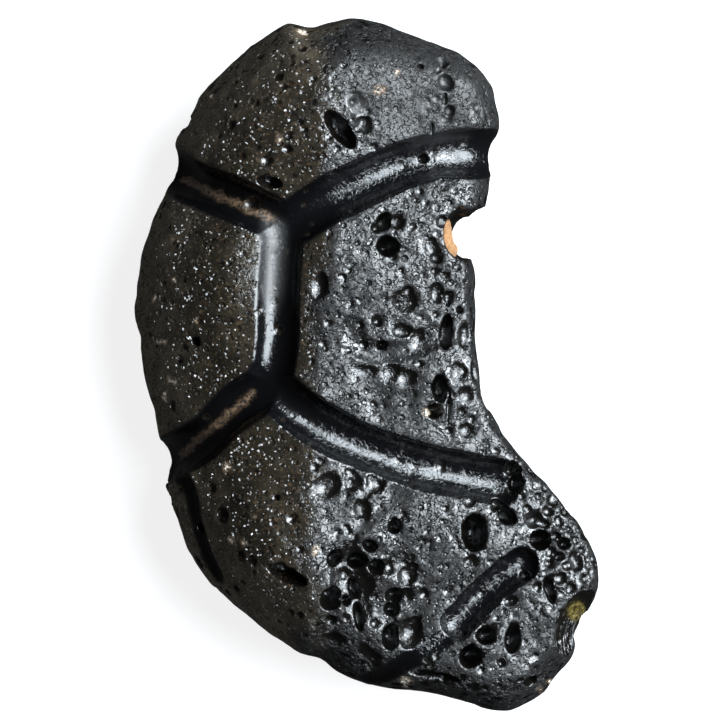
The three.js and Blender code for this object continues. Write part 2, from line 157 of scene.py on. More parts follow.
BUBBLES = [
    (-0.2, 24.5, 1.04, 0.99, 0), (0.2, 26, 0.42, 0.36, 0), (-13.9, 24.6, 0.47), (-11.3, 26.9, 0.36),
    (-13.6, 26.7, 0.31), (-15.7, 28.4, 0.31), (-8, 22.2, 0.42), (-12.7, 21.4, 0.31),
    (-8.4, 28.5, 0.31), (11.6, 26.5, 0.52), (8.3, 25.2, 0.68, 0.52, 0), (7.3, 27.4, 0.31),
    (6.3, 26.1, 0.31), (12.6, 25.5, 0.31), (7.3, 21.8, 0.57), (7.2, 20.6, 0.57), (0.9, 22.3, 0.42),
    (5.4, 31.7, 0.31), (7.5, 30.3, 0.31), (3.2, 14.6, 0.83), (3.1, 12, 0.62, 0.52, 90),
    (-4.8, 8, 1.46, 0.88, 85), (-3.8, 4.1, 0.42), (3.5, 6.1, 0.42), (4.4, 7.4, 0.57),
    (7.3, 7.2, 1.25, 0.78, 85), (7.1, 9.5, 0.47), (8.2, 9, 0.47), (5.9, 9.1, 0.31),
    (9.4, 9.9, 0.57), (7.3, 10.9, 0.62), (7.9, 14.6, 0.68), (8.7, 16.6, 0.42), (6.8, 15, 0.24),
    (7.3, 13.5, 0.31), (4.8, 14.1, 0.42), (3.8, 3.3, 1.14, 0.83, 0), (-0.2, 1.8, 0.52),
    (-0.6, 3.9, 0.42), (1.2, 4.4, 0.62), (5.6, -0.1, 0.42), (10.4, 2.8, 1.45, 0.9, 85),
    (11.3, -0.9, 1.25, 0.47, 90), (8.6, -7, 0.52), (10, -5.1, 0.52), (11, -5.8, 0.42),
    (8.1, -10.7, 0.73), (-2.3, 8.9, 0.47, 0.36, -30), (-1.5, 6.1, 0.36), (4.9, 6.2, 0.36),
    (6.6, 6.1, 0.36), (5.8, 4.7, 0.36), (7.3, 5, 0.36), (-1.5, 10.1, 0.31),
    (-0.3, -15.1, 1.14, 0.94, -70), (3.8, -15.7, 0.47), (-4.5, -10.2, 0.36), (-5.2, -10.8, 0.47),
    (10.8, -14.3, 0.73, 0.62, 0), (10.4, -19.6, 0.42), (-2, -21.9, 0.62), (2.4, -21.1, 0.83),
    (4.4, -21.8, 1.35, 1.14, 80), (4.3, -24.3, 0.94, 0.73, -60), (4.7, -27.9, 1.66, 1.25, 80),
    (3.8, -27.3, 0.52), (1, -26.9, 0.68, 0.62, 0), (-1.9, -26.3, 0.57), (-3.6, -26.5, 0.62),
    (6.4, -30.9, 0.42), (7.3, -30.5, 0.42), (-14.9, -15.8, 0.94, 0.83, 90), (-13, -20, 0.62),
    (-11.8, -20.4, 0.52), (-13.5, -23.5, 0.52), (-18.8, 1.6, 0.36), (-17.2, 4.3, 0.31),
    (-9.5, 7.8, 0.31), (-9.4, 6.3, 0.42), (-9.2, 3.4, 0.47), (17.2, -11.2, 0.42),
    (19.5, -14.3, 0.73), (19, -15.4, 0.62), (20.1, -16.5, 0.62), (17.5, -16.3, 1.04, 0.94, 0),
    (19.2, -19.7, 0.62), (19, -20.8, 0.52), (22, -20.6, 1.04, 0.83, 80), (20.8, -21.1, 0.52),
    (22.6, -19.5, 0.52), (21.8, -18.4, 0.47), (22.9, -22.3, 0.47), (20.1, -22.4, 0.83, 0.78, 0),
    (21.2, -23.4, 0.62), (19.2, -22.4, 0.52), (15, -24.7, 0.83, 0.57, 10), (14.2, -31.2, 0.42),
    (17.2, -30.7, 0.36), (15.4, -27.4, 0.52), (11.3, -33.7, 0.42), (12.3, -33.9, 0.42),
    (13.9, -33.7, 0.31), (18.6, -18.9, 0.52), (18, -13.9, 0.52, 0.47, 0), (16.7, -15.1, 0.52),
    (16.2, -13.9, 0.42), (18.6, -16.8, 0.52), (21.2, -17.3, 0.52), (19.8, -18, 0.47),
    (20.7, -15.5, 0.52, 0.47, 0),
]

DISHES = [
    (-0.9, 26.8, 1.66, 1.14, -50), (4, 6.3, 1.35, 1.25, 0), (6.9, 11.7, 1.56, 0.83, -60),
    (5.6, 2.5, 0.85), (0, -0.9, 1.56, 0.83, -12), (2.7, -1, 1.1), (4.2, -1.5, 1.1, 1, 0),
    (9.6, -0.9, 1.35, 1.04, 90), (10.5, -3.4, 0.99, 0.94, 0), (10.5, -7, 0.94),
    (-4, -12.8, 1.56, 1.25, 40), (-1.3, -12.3, 1.04, 0.99, 0), (1.1, -12.5, 1.14, 0.83, 40),
    (-0.1, -13.7, 0.94, 0.73, 60), (11, -20.5, 0.73), (-1.4, -22.6, 4.37, 1.98, -75),
    (-2.9, -28.4, 0.94, 0.73, 0), (0.6, -30.4, 2.08, 0.83, -68),
]

# Shells chipped off the lower right edge: a point of the hollow face, the bearing and the
# slope in degrees that it looks along, and the radius that it is hollowed to.
SPALLS = [((20.3, -28, 15.2), -6, 64, 5.5), ((19.6, -32, 15), -45, 48, 7)]

# A thin chip beside the shells, where light comes through the glass and is painted into its colour:
# centre, half-sizes.
THIN = ((22, -25.9, 15), (1.1, 1.2, 3.5))

LOWER_PITS = [
    (-15, 12, 2.2, 1.6, 60, 1.1), (-9, 24, 2.6, 1.5, 20, 1), (4, 25.5, 1.6, 1.4, 0, 1.1),
    (7, 13, 1.5, 1.2, 90, 0.9), (-17, -3, 1.5, 1.3, 0, 0.9), (-12, -19, 2.8, 1.5, -40, 1.1),
    (-2, -26, 1.8, 1.5, 0, 1), (9, -29, 2.4, 1.4, 15, 1), (16, -24, 1.5, 1.4, 0, 1.1),
]

# Burst bubbles in the side: bearing, half-length, half-width, depth.
SIDE_PITS = [
    (72, 1.7, 1.3, 1), (118, 2, 1.4, 1), (168, 1.9, 1.3, 0.9), (214, 1.8, 1.4, 1),
    (243, 1.6, 1.3, 0.9), (280, 1.9, 1.3, 1), (352, 1.4, 1.1, 0.8),
]

# The burst bubble through the right edge, and the clay on its wall: centre, half-sizes.
BREACH = ((10.1, 13.35, 17), (2.05, 2.65, 11))
BREACH_MOUTH = ((12.4, 13.9, 17), (2.7, 2.35, 12))
CLAY = ((8.1, 12.7, 13.2), (1.7, 2.4, 5))
CLAY_BARED = (0.5, 0.6, 0)

# Where the upper face is broken up: x, y, reach along x and along y.
RUGGED = [
    (-0.8, -21.5, 3.5, 6), (3.6, -4, 4, 1.8), (4.2, -24, 2.5, 5),
    (19.5, -18.5, 3.5, 5), (0.5, -13, 4.5, 1.8),
]

# Where the glass has lost its polish: x, y, reach along x and along y, share.
DULL = [(-9.6, 10.5, 2, 5, 0.5), (6, 28.5, 8, 5.5, 0.45)]

# Soil on the upper face, above a height: lines along two groove floors with their width, partly
# soil and partly a painted reflection of a warm surround, and spots: x, y, radius.
SOIL_AND_REFLECTION_ABOVE = 9
SOIL_AND_REFLECTION_LINE_SHARE = 0.6  # the lines are thinner than the spots
SOIL_AND_REFLECTION_RAGGED = (0.35, 0.3)  # how ragged the lines' and the spots' edges are
SOIL_AND_REFLECTION_LINES = [
    (0.7, [(-19.4, 19.4), (-16.8, 18.1), (-13.2, 16.5), (-9.6, 14.9)]),
    (0.7, [(-11.7, -3.2), (-13.6, -4.8), (-15.8, -6.7), (-18.3, -8.8), (-20, -10.1)]),
]
SOIL_SPOTS = [
    (-20.1, 13.1, 0.42), (-19.9, 8.6, 0.4), (-22, 6.6, 0.4), (-16.7, 6.3, 0.45), (-17.1, 5.2, 0.5),
    (-17.7, 4.4, 0.4), (-21.6, 2.3, 0.4), (-20.9, 2.2, 0.35), (-20.4, -1.8, 0.6), (-21, -3.4, 0.5),
    (-9, 23.1, 0.55), (1.5, 28.3, 0.45), (3.2, 30.1, 0.35), (2.4, 30.6, 0.28), (-6.5, 34.3, 0.65),
    (-13.9, -18.4, 0.5), (-12.6, -18.4, 0.6), (-5.1, -19.2, 0.45), (-16.1, 27.8, 0.4), (6.4, -5.1, 0.4),
    (-14.4, -10.7, 0.6), (-11.6, -16.1, 0.3), (4.1, -33.3, 0.6), (18.2, -34.2, 0.5), (19.2, -33.3, 0.4),
]

# Where dust, with painted warm bounce light, begins and where it is full, past the ridge line, and
# silt, with more painted bounce light, in from the outline.
DUST_AND_BOUNCE_LINE = (1.4, -2.4)
SILT_AND_BOUNCE_BAND = (7.5, 1.5)

# ---- Fine relief, in mm ----

# Unevenness: height and width of the waves.
SKIN_WAVES = [(0.12, 4.2), (0.06, 1.9)]
GRAIN_WAVES = [(0.03, 0.9), (0.016, 0.5)]
RUGGED_WAVE = (0.22, 1.1)
GROOVE_WAVES = [(0.015, 1.3)]
SCOOP_WAVES = [(0.04, 0.8)]
SOIL_AND_REFLECTION_WAVES = [(1, 0.5)]
DUST_AND_BOUNCE_WAVES = [(0.8, 2.4), (0.4, 0.9)]
CLAY_WAVES = [(0.06, 0.5), (0.04, 0.25)]

# How far the worn edges of what is cut out are rounded.
VALLEY_WEAR = 0.5
GROOVE_WEAR = 0.4
PIT_WEAR = 0.12
SCOOP_WEAR = 0.1
STREWN_WEAR = 0.06

# Past the wall of a groove, and of a pit, where its own look begins and where it is full.
GROOVE_FADE = (0.45, 0.05)
PIT_FADE = (0.12, 0)
SCOOP_SHRUNK = 0.07  # a scoop's look begins so much further in

# Small burst bubbles strewn at random: their half-width, and their length and depth as shares
# of it. Fewer are kept in grooves, and on the steep sides they are fewer but larger.
STREWN_TRIES = 9000
STREWN_LEAST = 0.17
STREWN_SPREAD = 0.07
STREWN_MOST = 0.9
STREWN_LENGTH = 1.15
STREWN_DEPTH = 0.6
STREWN_IN_GROOVES = 0.3
STREWN_ON_SIDES = 0.2
SIDE_GROWTH = 1.7
STEEP = 0.3  # the side begins where the way out rises less than this

CLAY_STEP = 0.12  # grid spacing of the clay
CLAY_MARGIN = 1
CLAY_PRESSED = 0.1  # how far the clay reaches past the breach's wall
CLAY_WEAR = (0.1, 0.15)  # rounding of its back edge and of its bared edge


# ---- The body's form, for arrays of places ----

def closed_curve(points, per_span):
    """A closed centripetal Catmull-Rom curve through the points."""
    points = np.array(points, float)
    before, here, after, beyond = (np.roll(points, shift, 0) for shift in (1, 0, -1, -2))

    def gap(a, b):
        return np.sqrt(np.linalg.norm(b - a, axis=1))[:, None]

    d0, d1, d2 = gap(before, here), gap(here, after), gap(after, beyond)
    leave = after - here + d1 * ((here - before) / d0 - (after - before) / (d0 + d1))
    arrive = after - here + d1 * ((beyond - after) / d2 - (beyond - here) / (d1 + d2))
    spans = []
    for t in np.arange(per_span) / per_span:
        weights = (2 * t**3 - 3 * t**2 + 1, t**3 - 2 * t**2 + t, -2 * t**3 + 3 * t**2, t**3 - t**2)
        spans.append(sum(w * p for w, p in zip(weights, (here, leave, after, arrive))))
    return np.stack(spans, 1).reshape(-1, 2)


EDGE = closed_curve(OUTLINE, 5)


def segment_distance(x, y, start, end):
    """Distance from places of the plan view to a straight stretch."""
    (ax, ay), (bx, by) = start, end
    ux, uy = bx - ax, by - ay
    t = np.clip(((x - ax) * ux + (y - ay) * uy) / (ux * ux + uy * uy), 0, 1)
    return np.sqrt((x - ax - t * ux) ** 2 + (y - ay - t * uy) ** 2)


def line_distance(x, y, line):
    """Distance from places of the plan view to an open line."""
    nearest = np.full(np.shape(x), np.inf)
    for start, end in zip(line, line[1:]):
        nearest = np.minimum(nearest, segment_distance(x, y, start, end))
    return nearest


def inset(x, y):
    """Distance to the outline seen from above, negative outside it."""
    inside = np.zeros(np.shape(x), bool)
    for (ax, ay), (bx, by) in zip(EDGE, np.roll(EDGE, -1, 0)):
        if ay != by:
            inside ^= ((ay > y) != (by > y)) & (x < ax + (y - ay) / (by - ay) * (bx - ax))
    return np.where(inside, 1, -1) * line_distance(x, y, np.vstack([EDGE, EDGE[:1]]))


def by_bearing(table, x, y):
    """A value given at a few bearings from the middle, eased between them."""
    bearing = np.degrees(np.arctan2(y - MIDDLE[1], x - MIDDLE[0])) % 360
    angles = np.array([angle for angle, _ in table] + [360])
    values = np.array([value for _, value in table] + [table[0][1]])
    i = np.searchsorted(angles, bearing, side="right") - 1
    t = (bearing - angles[i]) / (angles[i + 1] - angles[i])
    return values[i] + (values[i + 1] - values[i]) * t * t * (3 - 2 * t)


def past_ridge(x, y):
    """Distance to the right of the ridge line, negative on its left."""
    return x - RIDGE_X - RIDGE_LEAN * y


def crest(x, y):
    """Height that the upper face would have without its rounded edge."""
    away = past_ridge(x, y)
    height = CREST - np.where(away > 0, FALL_RIGHT, -FALL_LEFT) * away
    for cx, cy, reach, swell in SWELLS:
        height = height + swell * np.exp(-2 * ((x - cx) ** 2 + (y - cy) ** 2) / reach**2)
    return height


def belly(x, y):
    """Height of the underside away from its edge: negative where the stone rests on its flat."""
    away = ((x - REST["x"]) / REST["reach_x"]) ** 2 + ((y - REST["y"]) / REST["reach_y"]) ** 2
    return REST["rise"] * away - REST["dip"]


def rounded(share, power):
    """Rise of a rounded edge, from 0 to 1, at a share of its width."""
    return (1 - (1 - np.clip(share, 0, 1)) ** power) ** (1 / power)


def upper_height(x, y):
    rim = by_bearing(RIM, x, y)
    share = inset(x, y) / by_bearing(UPPER_EDGE, x, y)
    return rim + (crest(x, y) - rim) * rounded(share, UPPER_ROUNDNESS)


def lower_height(x, y):
    rim = by_bearing(RIM, x, y)
    share = inset(x, y) / by_bearing(LOWER_EDGE, x, y)
    return np.maximum(0, rim - (rim - belly(x, y)) * rounded(share, LOWER_ROUNDNESS))


def seat_on(height_of, outward, x, y, step=0.4):
    """Points on the upper (outward 1) or lower (-1) face, and the ways out of it."""
    x, y = np.atleast_1d(x).astype(float), np.atleast_1d(y).astype(float)
    slope_x = (height_of(x + step, y) - height_of(x - step, y)) / (2 * step)
    slope_y = (height_of(x, y + step) - height_of(x, y - step)) / (2 * step)
    normals = outward * np.stack([-slope_x, -slope_y, np.ones_like(x)], 1)
    normals /= np.linalg.norm(normals, axis=1)[:, None]
    return np.stack([x, y, height_of(x, y)], 1), normals


def seat_at_rim(bearing):
    """The point of the widest line at a bearing from the middle, and the way out there."""
    way = np.array([math.cos(math.radians(bearing)), math.sin(math.radians(bearing))])
    spokes = EDGE - MIDDLE
    i = int(np.argmax(spokes @ way / np.linalg.norm(spokes, axis=1)))
    tangent = EDGE[(i + 1) % len(EDGE)] - EDGE[i]
    normal = np.array([tangent[1], -tangent[0], 0]) / np.linalg.norm(tangent)
    return np.array([*EDGE[i], float(by_bearing(RIM, *EDGE[i]))]), normal


# ---- Fields on a grid ----

class Grid:
    """Sample places of a box, evenly spaced, and windows on them."""

    def __init__(self, low, high, step):
        self.step = step
        self.low = np.array(low, float)
        self.axes = [np.arange(a, b + step, step, dtype=np.float32) for a, b in zip(low, high)]
        self.shape = tuple(len(axis) for axis in self.axes)

    def window(self, low, high):
        """Slices that cover a box, and the coordinates in them."""
        cuts = []
        for axis, a, b, start in zip(self.axes, low, high, self.low):
            first = max(0, int((a - start) / self.step))
            cuts.append(slice(first, max(first, min(len(axis), int((b - start) / self.step) + 2))))
        return tuple(cuts), self.places(cuts)

    def places(self, cuts=(slice(None),) * 3):
        x, y, z = (axis[cut] for axis, cut in zip(self.axes, cuts))
        return x[:, None, None], y[None, :, None], z[None, None, :]

    def sample(self, field, points):
        """The field's values between its places, by straight-line mixing."""
        at = (points - self.low) / self.step
        base = np.clip(at.astype(int), 0, np.array(self.shape) - 2)
        t = np.clip(at - base, 0, 1)
        total = np.zeros(len(points))
        for corner in np.ndindex(2, 2, 2):
            weight = np.prod(np.where(corner, t, 1 - t), axis=1)
            total += weight * field[tuple((base + corner).T)]
        return total


def as_distance(field, step, most=4):
    """Scales a field by its slope, so that its values near zero are distances."""
    slope = np.sqrt(sum(g * g for g in np.gradient(field, step)))
    return np.clip(field / np.maximum(slope, 1e-3), -most, most)


def smooth_noise(grid, cell, rng, peak=2.4):
    """Noise of unit spread, cut off at its peaks, that varies over about a cell, by splines."""
    weights = []
    for axis in grid.axes:
        at = (axis - axis[0]) / cell
        first = at.astype(int)
        t = at - first
        spline = [(1 - t) ** 3, 3 * t**3 - 6 * t**2 + 4, -3 * t**3 + 3 * t**2 + 3 * t + 1, t**3]
        weight = np.zeros((len(axis), int(at[-1]) + 4), np.float32)
        for k, part in enumerate(spline):
            weight[np.arange(len(axis)), first + k] = part / 6
        weights.append(weight)
    values = rng.standard_normal([w.shape[1] for w in weights], dtype=np.float32)
    for weight in weights:
        values = np.tensordot(values, weight, axes=(0, 1))
    return np.clip(values / values.std(), -peak, peak)


def unevenness(grid, waves, rng):
    """Noise added up from waves: height and width of each."""
    return sum(height * smooth_noise(grid, width, rng) for height, width in waves)


def smooth_max(a, b, reach):
    """The larger of two fields, rounded where they are closer than the reach."""
    overlap = np.maximum(reach - np.abs(a - b), 0) / reach
    return np.maximum(a, b) + overlap * overlap * reach / 4


def smoothstep(low, high, value):
    """Eases from 0 at low to 1 at high."""
    t = np.clip((value - low) / (high - low), 0, 1)
    return t * t * (3 - 2 * t)


def body_field(grid):
    """The stone's rounded form: negative inside it, in mm near its surface."""
    x, y, z = grid.places()
    flat_x, flat_y = (a.astype(float) for a in np.broadcast_arrays(x[:, :, 0], y[:, :, 0]))
    rim = by_bearing(RIM, flat_x, flat_y)
    edge = inset(flat_x, flat_y)

    def half(edge_table, power, height):
        inward = 1 - np.minimum(edge / by_bearing(edge_table, flat_x, flat_y), 1)
        rise = np.abs((z - rim[:, :, None]) / (height - rim)[:, :, None])
        outside = inward[:, :, None] ** power + rise.astype(np.float32) ** power
        return as_distance(outside.astype(np.float32) ** (1 / power) - 1, grid.step)

    upper = half(UPPER_EDGE, UPPER_ROUNDNESS, crest(flat_x, flat_y))
    lower = half(LOWER_EDGE, LOWER_ROUNDNESS, np.minimum(belly(flat_x, flat_y), rim - BELLY_DROP))
    return np.where(z > rim[:, :, None], upper, lower)


def open_curve(points, spacing):
    """An open Catmull-Rom curve through 3-D points, as points about a spacing apart."""
    points = np.array(points, float)
    padded = np.vstack([2 * points[0] - points[1], points, 2 * points[-1] - points[-2]])
    found = []
    for a, b, c, d in zip(padded, padded[1:], padded[2:], padded[3:]):
        count = max(1, round(np.linalg.norm(c - b) / spacing))
        for t in np.arange(count) / count:
            found.append(
                0.5 * (2 * b + (c - a) * t + (2 * a - 5 * b + 4 * c - d) * t**2
                       + (3 * b - a - 3 * c + d) * t**3)
            )
    return np.array(found + [points[-1]])


def groove_field(grid, grooves, spacing=0.9, margin=1.2):
    """Distance to the nearest groove's round wall, negative in the groove."""
    field = np.full(grid.shape, FAR, np.float32)
    for width, depth, line in grooves:
        radius = ((width / 2) ** 2 + depth**2) / (2 * depth)
        points, normals = seat_on(upper_height, 1, *np.array(line).T)
        middle = open_curve(points + normals * (radius - depth), spacing)
        reach = radius + margin
        for a, b in zip(middle, middle[1:]):
            cut, (x, y, z) = grid.window(np.minimum(a, b) - reach, np.maximum(a, b) + reach)
            u = b - a
            along = ((x - a[0]) * u[0] + (y - a[1]) * u[1] + (z - a[2]) * u[2]) / (u @ u)
            t = np.clip(along, 0, 1)
            away = np.sqrt(
                (x - a[0] - t * u[0]) ** 2 + (y - a[1] - t * u[1]) ** 2 + (z - a[2] - t * u[2]) ** 2
            )
            field[cut] = np.minimum(field[cut], away - radius)
    return field


def ellipsoid_field(x, y, z, centre, axes, half):
    """Distance to an ellipsoid, close to true near its surface; axes are its three ways."""
    local = [
        (x - centre[0]) * axis[0] + (y - centre[1]) * axis[1] + (z - centre[2]) * axis[2]
        for axis in axes
    ]
    scaled = np.sqrt(sum((part / size) ** 2 for part, size in zip(local, half)))
    slope = np.sqrt(sum((part / size**2) ** 2 for part, size in zip(local, half)))
    return scaled * (scaled - 1) / np.maximum(slope, 1e-6)


def pit_form(point, normal, along, across, turn, depth):
    """Centre, axes and half-sizes of the ellipsoid that leaves a pit of that opening."""
    lift = max(0, (across**2 - depth**2) / (across**2 + depth**2))
    mouth = math.sqrt(1 - lift * lift)
    half_depth = depth / (1 - lift)
    way = np.array([math.cos(math.radians(turn)), math.sin(math.radians(turn)), 0])
    axis_x = way - normal * (way @ normal)
    if np.linalg.norm(axis_x) < 0.1:
        axis_x = np.array([0, 0, 1.0])
    axis_x = axis_x / np.linalg.norm(axis_x)
    axes = (axis_x, np.cross(normal, axis_x), normal)
    return point + normal * lift * half_depth, axes, (along / mouth, across / mouth, half_depth)


def carve(grid, stone, pits, form, wear=PIT_WEAR, margin=0.4):
    """Cuts one ellipsoid from the stone and notes it among the pits."""
    centre, axes, half = form
    reach = max(half) + margin
    cut, (x, y, z) = grid.window(np.array(centre) - reach, np.array(centre) + reach)
    ball = ellipsoid_field(x, y, z, centre, axes, half).astype(np.float32)
    stone[cut] = smooth_max(stone[cut], -ball, wear)
    pits[cut] = np.minimum(pits[cut], ball)


def scattered_seats(grid, field, count, rng):
    """Points spread at random over the field's surface, and the ways out of it."""
    near = np.argwhere(np.abs(field) < grid.step * 0.5)
    near = near[np.all((near > 1) & (near < np.array(grid.shape) - 2), axis=1)]
    chosen = near[rng.choice(len(near), count, replace=False)]
    i, j, k = chosen.T
    normals = np.stack([
        field[i + 1, j, k] - field[i - 1, j, k],
        field[i, j + 1, k] - field[i, j - 1, k],
        field[i, j, k + 1] - field[i, j, k - 1],
    ], 1)
    normals /= np.maximum(np.linalg.norm(normals, axis=1), 1e-6)[:, None]
    return grid.low + chosen * grid.step - normals * field[i, j, k][:, None], normals


def soil_and_reflection_share(places, rough):
    """How much soil lies at places of the upper face, with ragged edges; the lines along two groove
    floors are partly a painted reflection.
    """
    x, y, z = places.T
    share = np.zeros(len(places))
    line_ragged, spot_ragged = SOIL_AND_REFLECTION_RAGGED
    for width, line in SOIL_AND_REFLECTION_LINES:
        away = line_distance(x, y, line) / (width / 2) + line_ragged * rough
        share = np.maximum(share, SOIL_AND_REFLECTION_LINE_SHARE * smoothstep(1.9, 0.1, away))
    for cx, cy, radius in SOIL_SPOTS:
        away = np.hypot(x - cx, y - cy) / radius + spot_ragged * rough
        share = np.maximum(share, smoothstep(1.0, 0.5, away))
    return share * (z > SOIL_AND_REFLECTION_ABOVE)


def dull_share(places):
    """How worn the polish of the upper face is at places of it, from 0 to 1."""
    x, y, _ = places.T
    return sum(
        share * smoothstep(1.3, 0.7, np.hypot((x - cx) / rx, (y - cy) / ry))
        for cx, cy, rx, ry, share in DULL
    )


def thin_share(places):
    """Where the glass is thin enough to let light through."""
    away = np.linalg.norm((places - THIN[0]) / THIN[1], axis=1)
    return smoothstep(1.1, 0.7, away)


def rugged_share(x, y):
    """How broken up the upper face is between its burst bubbles, from 0 to 1."""
    share = sum(
        np.exp(-(((x - cx) / rx) ** 2 + ((y - cy) / ry) ** 2)) for cx, cy, rx, ry in RUGGED
    )
    return np.minimum(share, 1)


def pit_share(point, normal):
    """How thickly small burst bubbles lie: most at the lower right and where it is broken up."""
    if normal[2] < STEEP:
        return 0.5
    x, y = point[0], point[1]
    right = float(smoothstep(-12, 6, x + 0.2 * y))
    low_right = float(smoothstep(-8, -20, y - 0.6 * x + 4))
    return min(1, 0.1 + 0.2 * right + 0.4 * low_right * right + 0.6 * rugged_share(x, y))


def carve_strewn(grid, stone, pits, grooves, rng):
    """Strews small burst bubbles over the stone, more of them where it foamed most."""
    points, normals = scattered_seats(grid, stone, STREWN_TRIES, rng)
    shares = np.where(grid.sample(grooves, points) < GROOVE_WEAR, STREWN_IN_GROOVES, 1)
    sizes = STREWN_LEAST + STREWN_SPREAD * rng.exponential(1, STREWN_TRIES)
    turns = rng.uniform(0, 180, STREWN_TRIES)
    chances = rng.uniform(0, 1, STREWN_TRIES)
    for point, normal, size, turn, chance, share in zip(
        points, normals, sizes, turns, chances, shares
    ):
        if chance > share * pit_share(point, normal):
            continue
        if normal[2] < STEEP:
            if chance > STREWN_ON_SIDES:
                continue
            size = size * SIDE_GROWTH
        size = min(size, STREWN_MOST)
        form = pit_form(point, normal, size * STREWN_LENGTH, size, turn, size * STREWN_DEPTH)
        carve(grid, stone, pits, form, STREWN_WEAR)


# ---- Meshes ----

def crossings(field, inside, axis):
    """Grid places whose next one along the axis is across the surface, and where it is crossed."""
    crossing = inside != np.roll(inside, -1, axis)
    crossing[tuple(-1 if a == axis else slice(None) for a in range(3))] = False
    low = np.argwhere(crossing)
    ahead = np.eye(3, dtype=int)[axis]
    f0, f1 = field[tuple(low.T)], field[tuple((low + ahead).T)]
    return low, low + ahead * (f0 / (f0 - f1))[:, None]


def cubes_around(low, axis, shape):
    """Numbers of the four cubes about each crossing along the axis, in turn round it."""
    b, c = (axis + 1) % 3, (axis + 2) % 3
    cubes = []
    for back_b, back_c in ((1, 1), (0, 1), (0, 0), (1, 0)):
        cube = low.copy()
        cube[:, b] -= back_b
        cube[:, c] -= back_c
        cubes.append(np.ravel_multi_index(tuple(cube.T), shape))
    return cubes


def surface_net(grid, field):
    """Vertices and quads of the surface where the field is zero, one vertex to a cube."""
    inside = field < 0
    total = np.zeros((field.size, 3), np.float32)
    count = np.zeros(field.size, np.int32)
    quads = []
    for axis in range(3):
        low, at = crossings(field, inside, axis)
        cubes = cubes_around(low, axis, field.shape)
        for cube in cubes:
            for k in range(3):
                total[:, k] += np.bincount(cube, at[:, k], len(count)).astype(np.float32)
            count += np.bincount(cube, minlength=len(count)).astype(np.int32)
        quad = np.stack(cubes, 1)
        leaving = inside[tuple(low.T)]
        quads.append(np.where(leaving[:, None], quad, quad[:, ::-1]))
    used = np.flatnonzero(count)
    number = np.full(len(count), -1)
    number[used] = np.arange(len(used))
    vertices = grid.low + total[used] / count[used][:, None] * grid.step
    return vertices, number[np.concatenate(quads)]


def largest_shell(vertices, quads):
    """Drops loose crumbs: keeps the faces joined to the largest body."""
    label = np.arange(len(vertices))
    while True:
        lowest = label[quads].min(1)
        before = label.copy()
        for k in range(4):
            np.minimum.at(label, quads[:, k], lowest)
        label = label[label]
        if np.array_equal(before, label):
            break
    main = np.bincount(label).argmax()
    keep = label == main
    number = np.cumsum(keep) - 1
    return vertices[keep], number[quads[keep[quads[:, 0]]]]


def mesh_object(name, vertices, quads):
    """Puts a mesh given in mm into the scene."""
    mesh = bpy.data.meshes.new(name)
    mesh.from_pydata(vertices * MM, [], quads.tolist())
    mesh.validate()
    obj = bpy.data.objects.new(name, mesh)
    bpy.context.scene.collection.objects.link(obj)
    return obj


def triangle_count(mesh):
    return sum(len(face.vertices) - 2 for face in mesh.polygons)


def decimate(obj, triangles, loose=None):
    """Reduces a mesh to about that many triangles, only among its loose vertices if given."""
    now = triangle_count(obj.data)
    if now <= triangles:
        return
    modifier = obj.modifiers.new("decimate", "DECIMATE")
    modifier.ratio = triangles / now
    if loose is not None:
        group = obj.vertex_groups.new(name="loose")
        group.add(np.flatnonzero(loose).tolist(), 1, "REPLACE")
        modifier.vertex_group = group.name
    shaped = obj.evaluated_get(bpy.context.evaluated_depsgraph_get())
    mesh = bpy.data.meshes.new_from_object(shaped)
    obj.modifiers.clear()
    obj.vertex_groups.clear()
    obj.data = mesh


def add_mask(obj, name, values):
    """Keeps a value per vertex, which the material reads by that name."""
    attribute = obj.data.attributes.new(name, "FLOAT", "POINT")
    attribute.data.foreach_set("value", np.asarray(values, np.float32))


def vertex_places(obj):
    """The vertices' places in mm."""
    places = np.empty(len(obj.data.vertices) * 3, np.float32)
    obj.data.vertices.foreach_get("co", places)
    return places.reshape(-1, 3) / MM


# ---- The stone ----

def skin_field(grid, rng):
    """The body's form with its uneven skin."""
    skin = body_field(grid)
    for wave in SKIN_WAVES:
        skin = skin - unevenness(grid, [wave], rng)
    grain = unevenness(grid, GRAIN_WAVES, rng)
    height, width = RUGGED_WAVE
    broken = rugged_share(*grid.places()[:2]) * height * smooth_noise(grid, width, rng)
    return skin + broken - grain


def carve_placed(grid, stone, pits):
    """Cuts the burst bubbles that have a place of their own."""
    upper_pits = []
    for table, depth in ((DISHES, DISH_DEPTH), (BUBBLES, BUBBLE_DEPTH), (HOLES, HOLE_DEPTH)):
        for x, y, along, *rest in table:
            across, turn = rest or (along, 0)
            upper_pits.append((x, y, along, across, turn, across * depth))
    for table, height_of, outward in (
        (upper_pits, upper_height, 1),
        (LOWER_PITS, lower_height, -1),
    ):
        for x, y, *form in table:
            points, normals = seat_on(height_of, outward, x, y)
            on_skin = points[0] - normals[0] * grid.sample(stone, points)[0]
            carve(grid, stone, pits, pit_form(on_skin, normals[0], *form))
    for bearing, along, across, depth in SIDE_PITS:
        form = pit_form(*seat_at_rim(bearing), along, across, bearing + 90, depth)
        carve(grid, stone, pits, form)


def carve_spalls(grid, stone):
    """Cuts the hollows that chipped-off shells left, and gives their field."""
    flakes = np.full(grid.shape, FAR, np.float32)
    for point, bearing, slope, radius in SPALLS:
        level, steep = math.radians(bearing), math.radians(slope)
        outward = np.array([
            math.sin(steep) * math.cos(level), math.sin(steep) * math.sin(level), math.cos(steep),
        ])
        carve(grid, stone, flakes, (point + outward * radius, np.eye(3), (radius,) * 3))
    return flakes


def thin_out(obj):
    """Brings the mesh under its limit, with coarser faces on the underside."""
    under = vertex_places(obj)[:, 2] < UNDER_TOP
    decimate(obj, triangle_count(obj.data) * (1 - UNDER_THINNING * under.mean()), loose=under)
    decimate(obj, MOST_TRIANGLES)


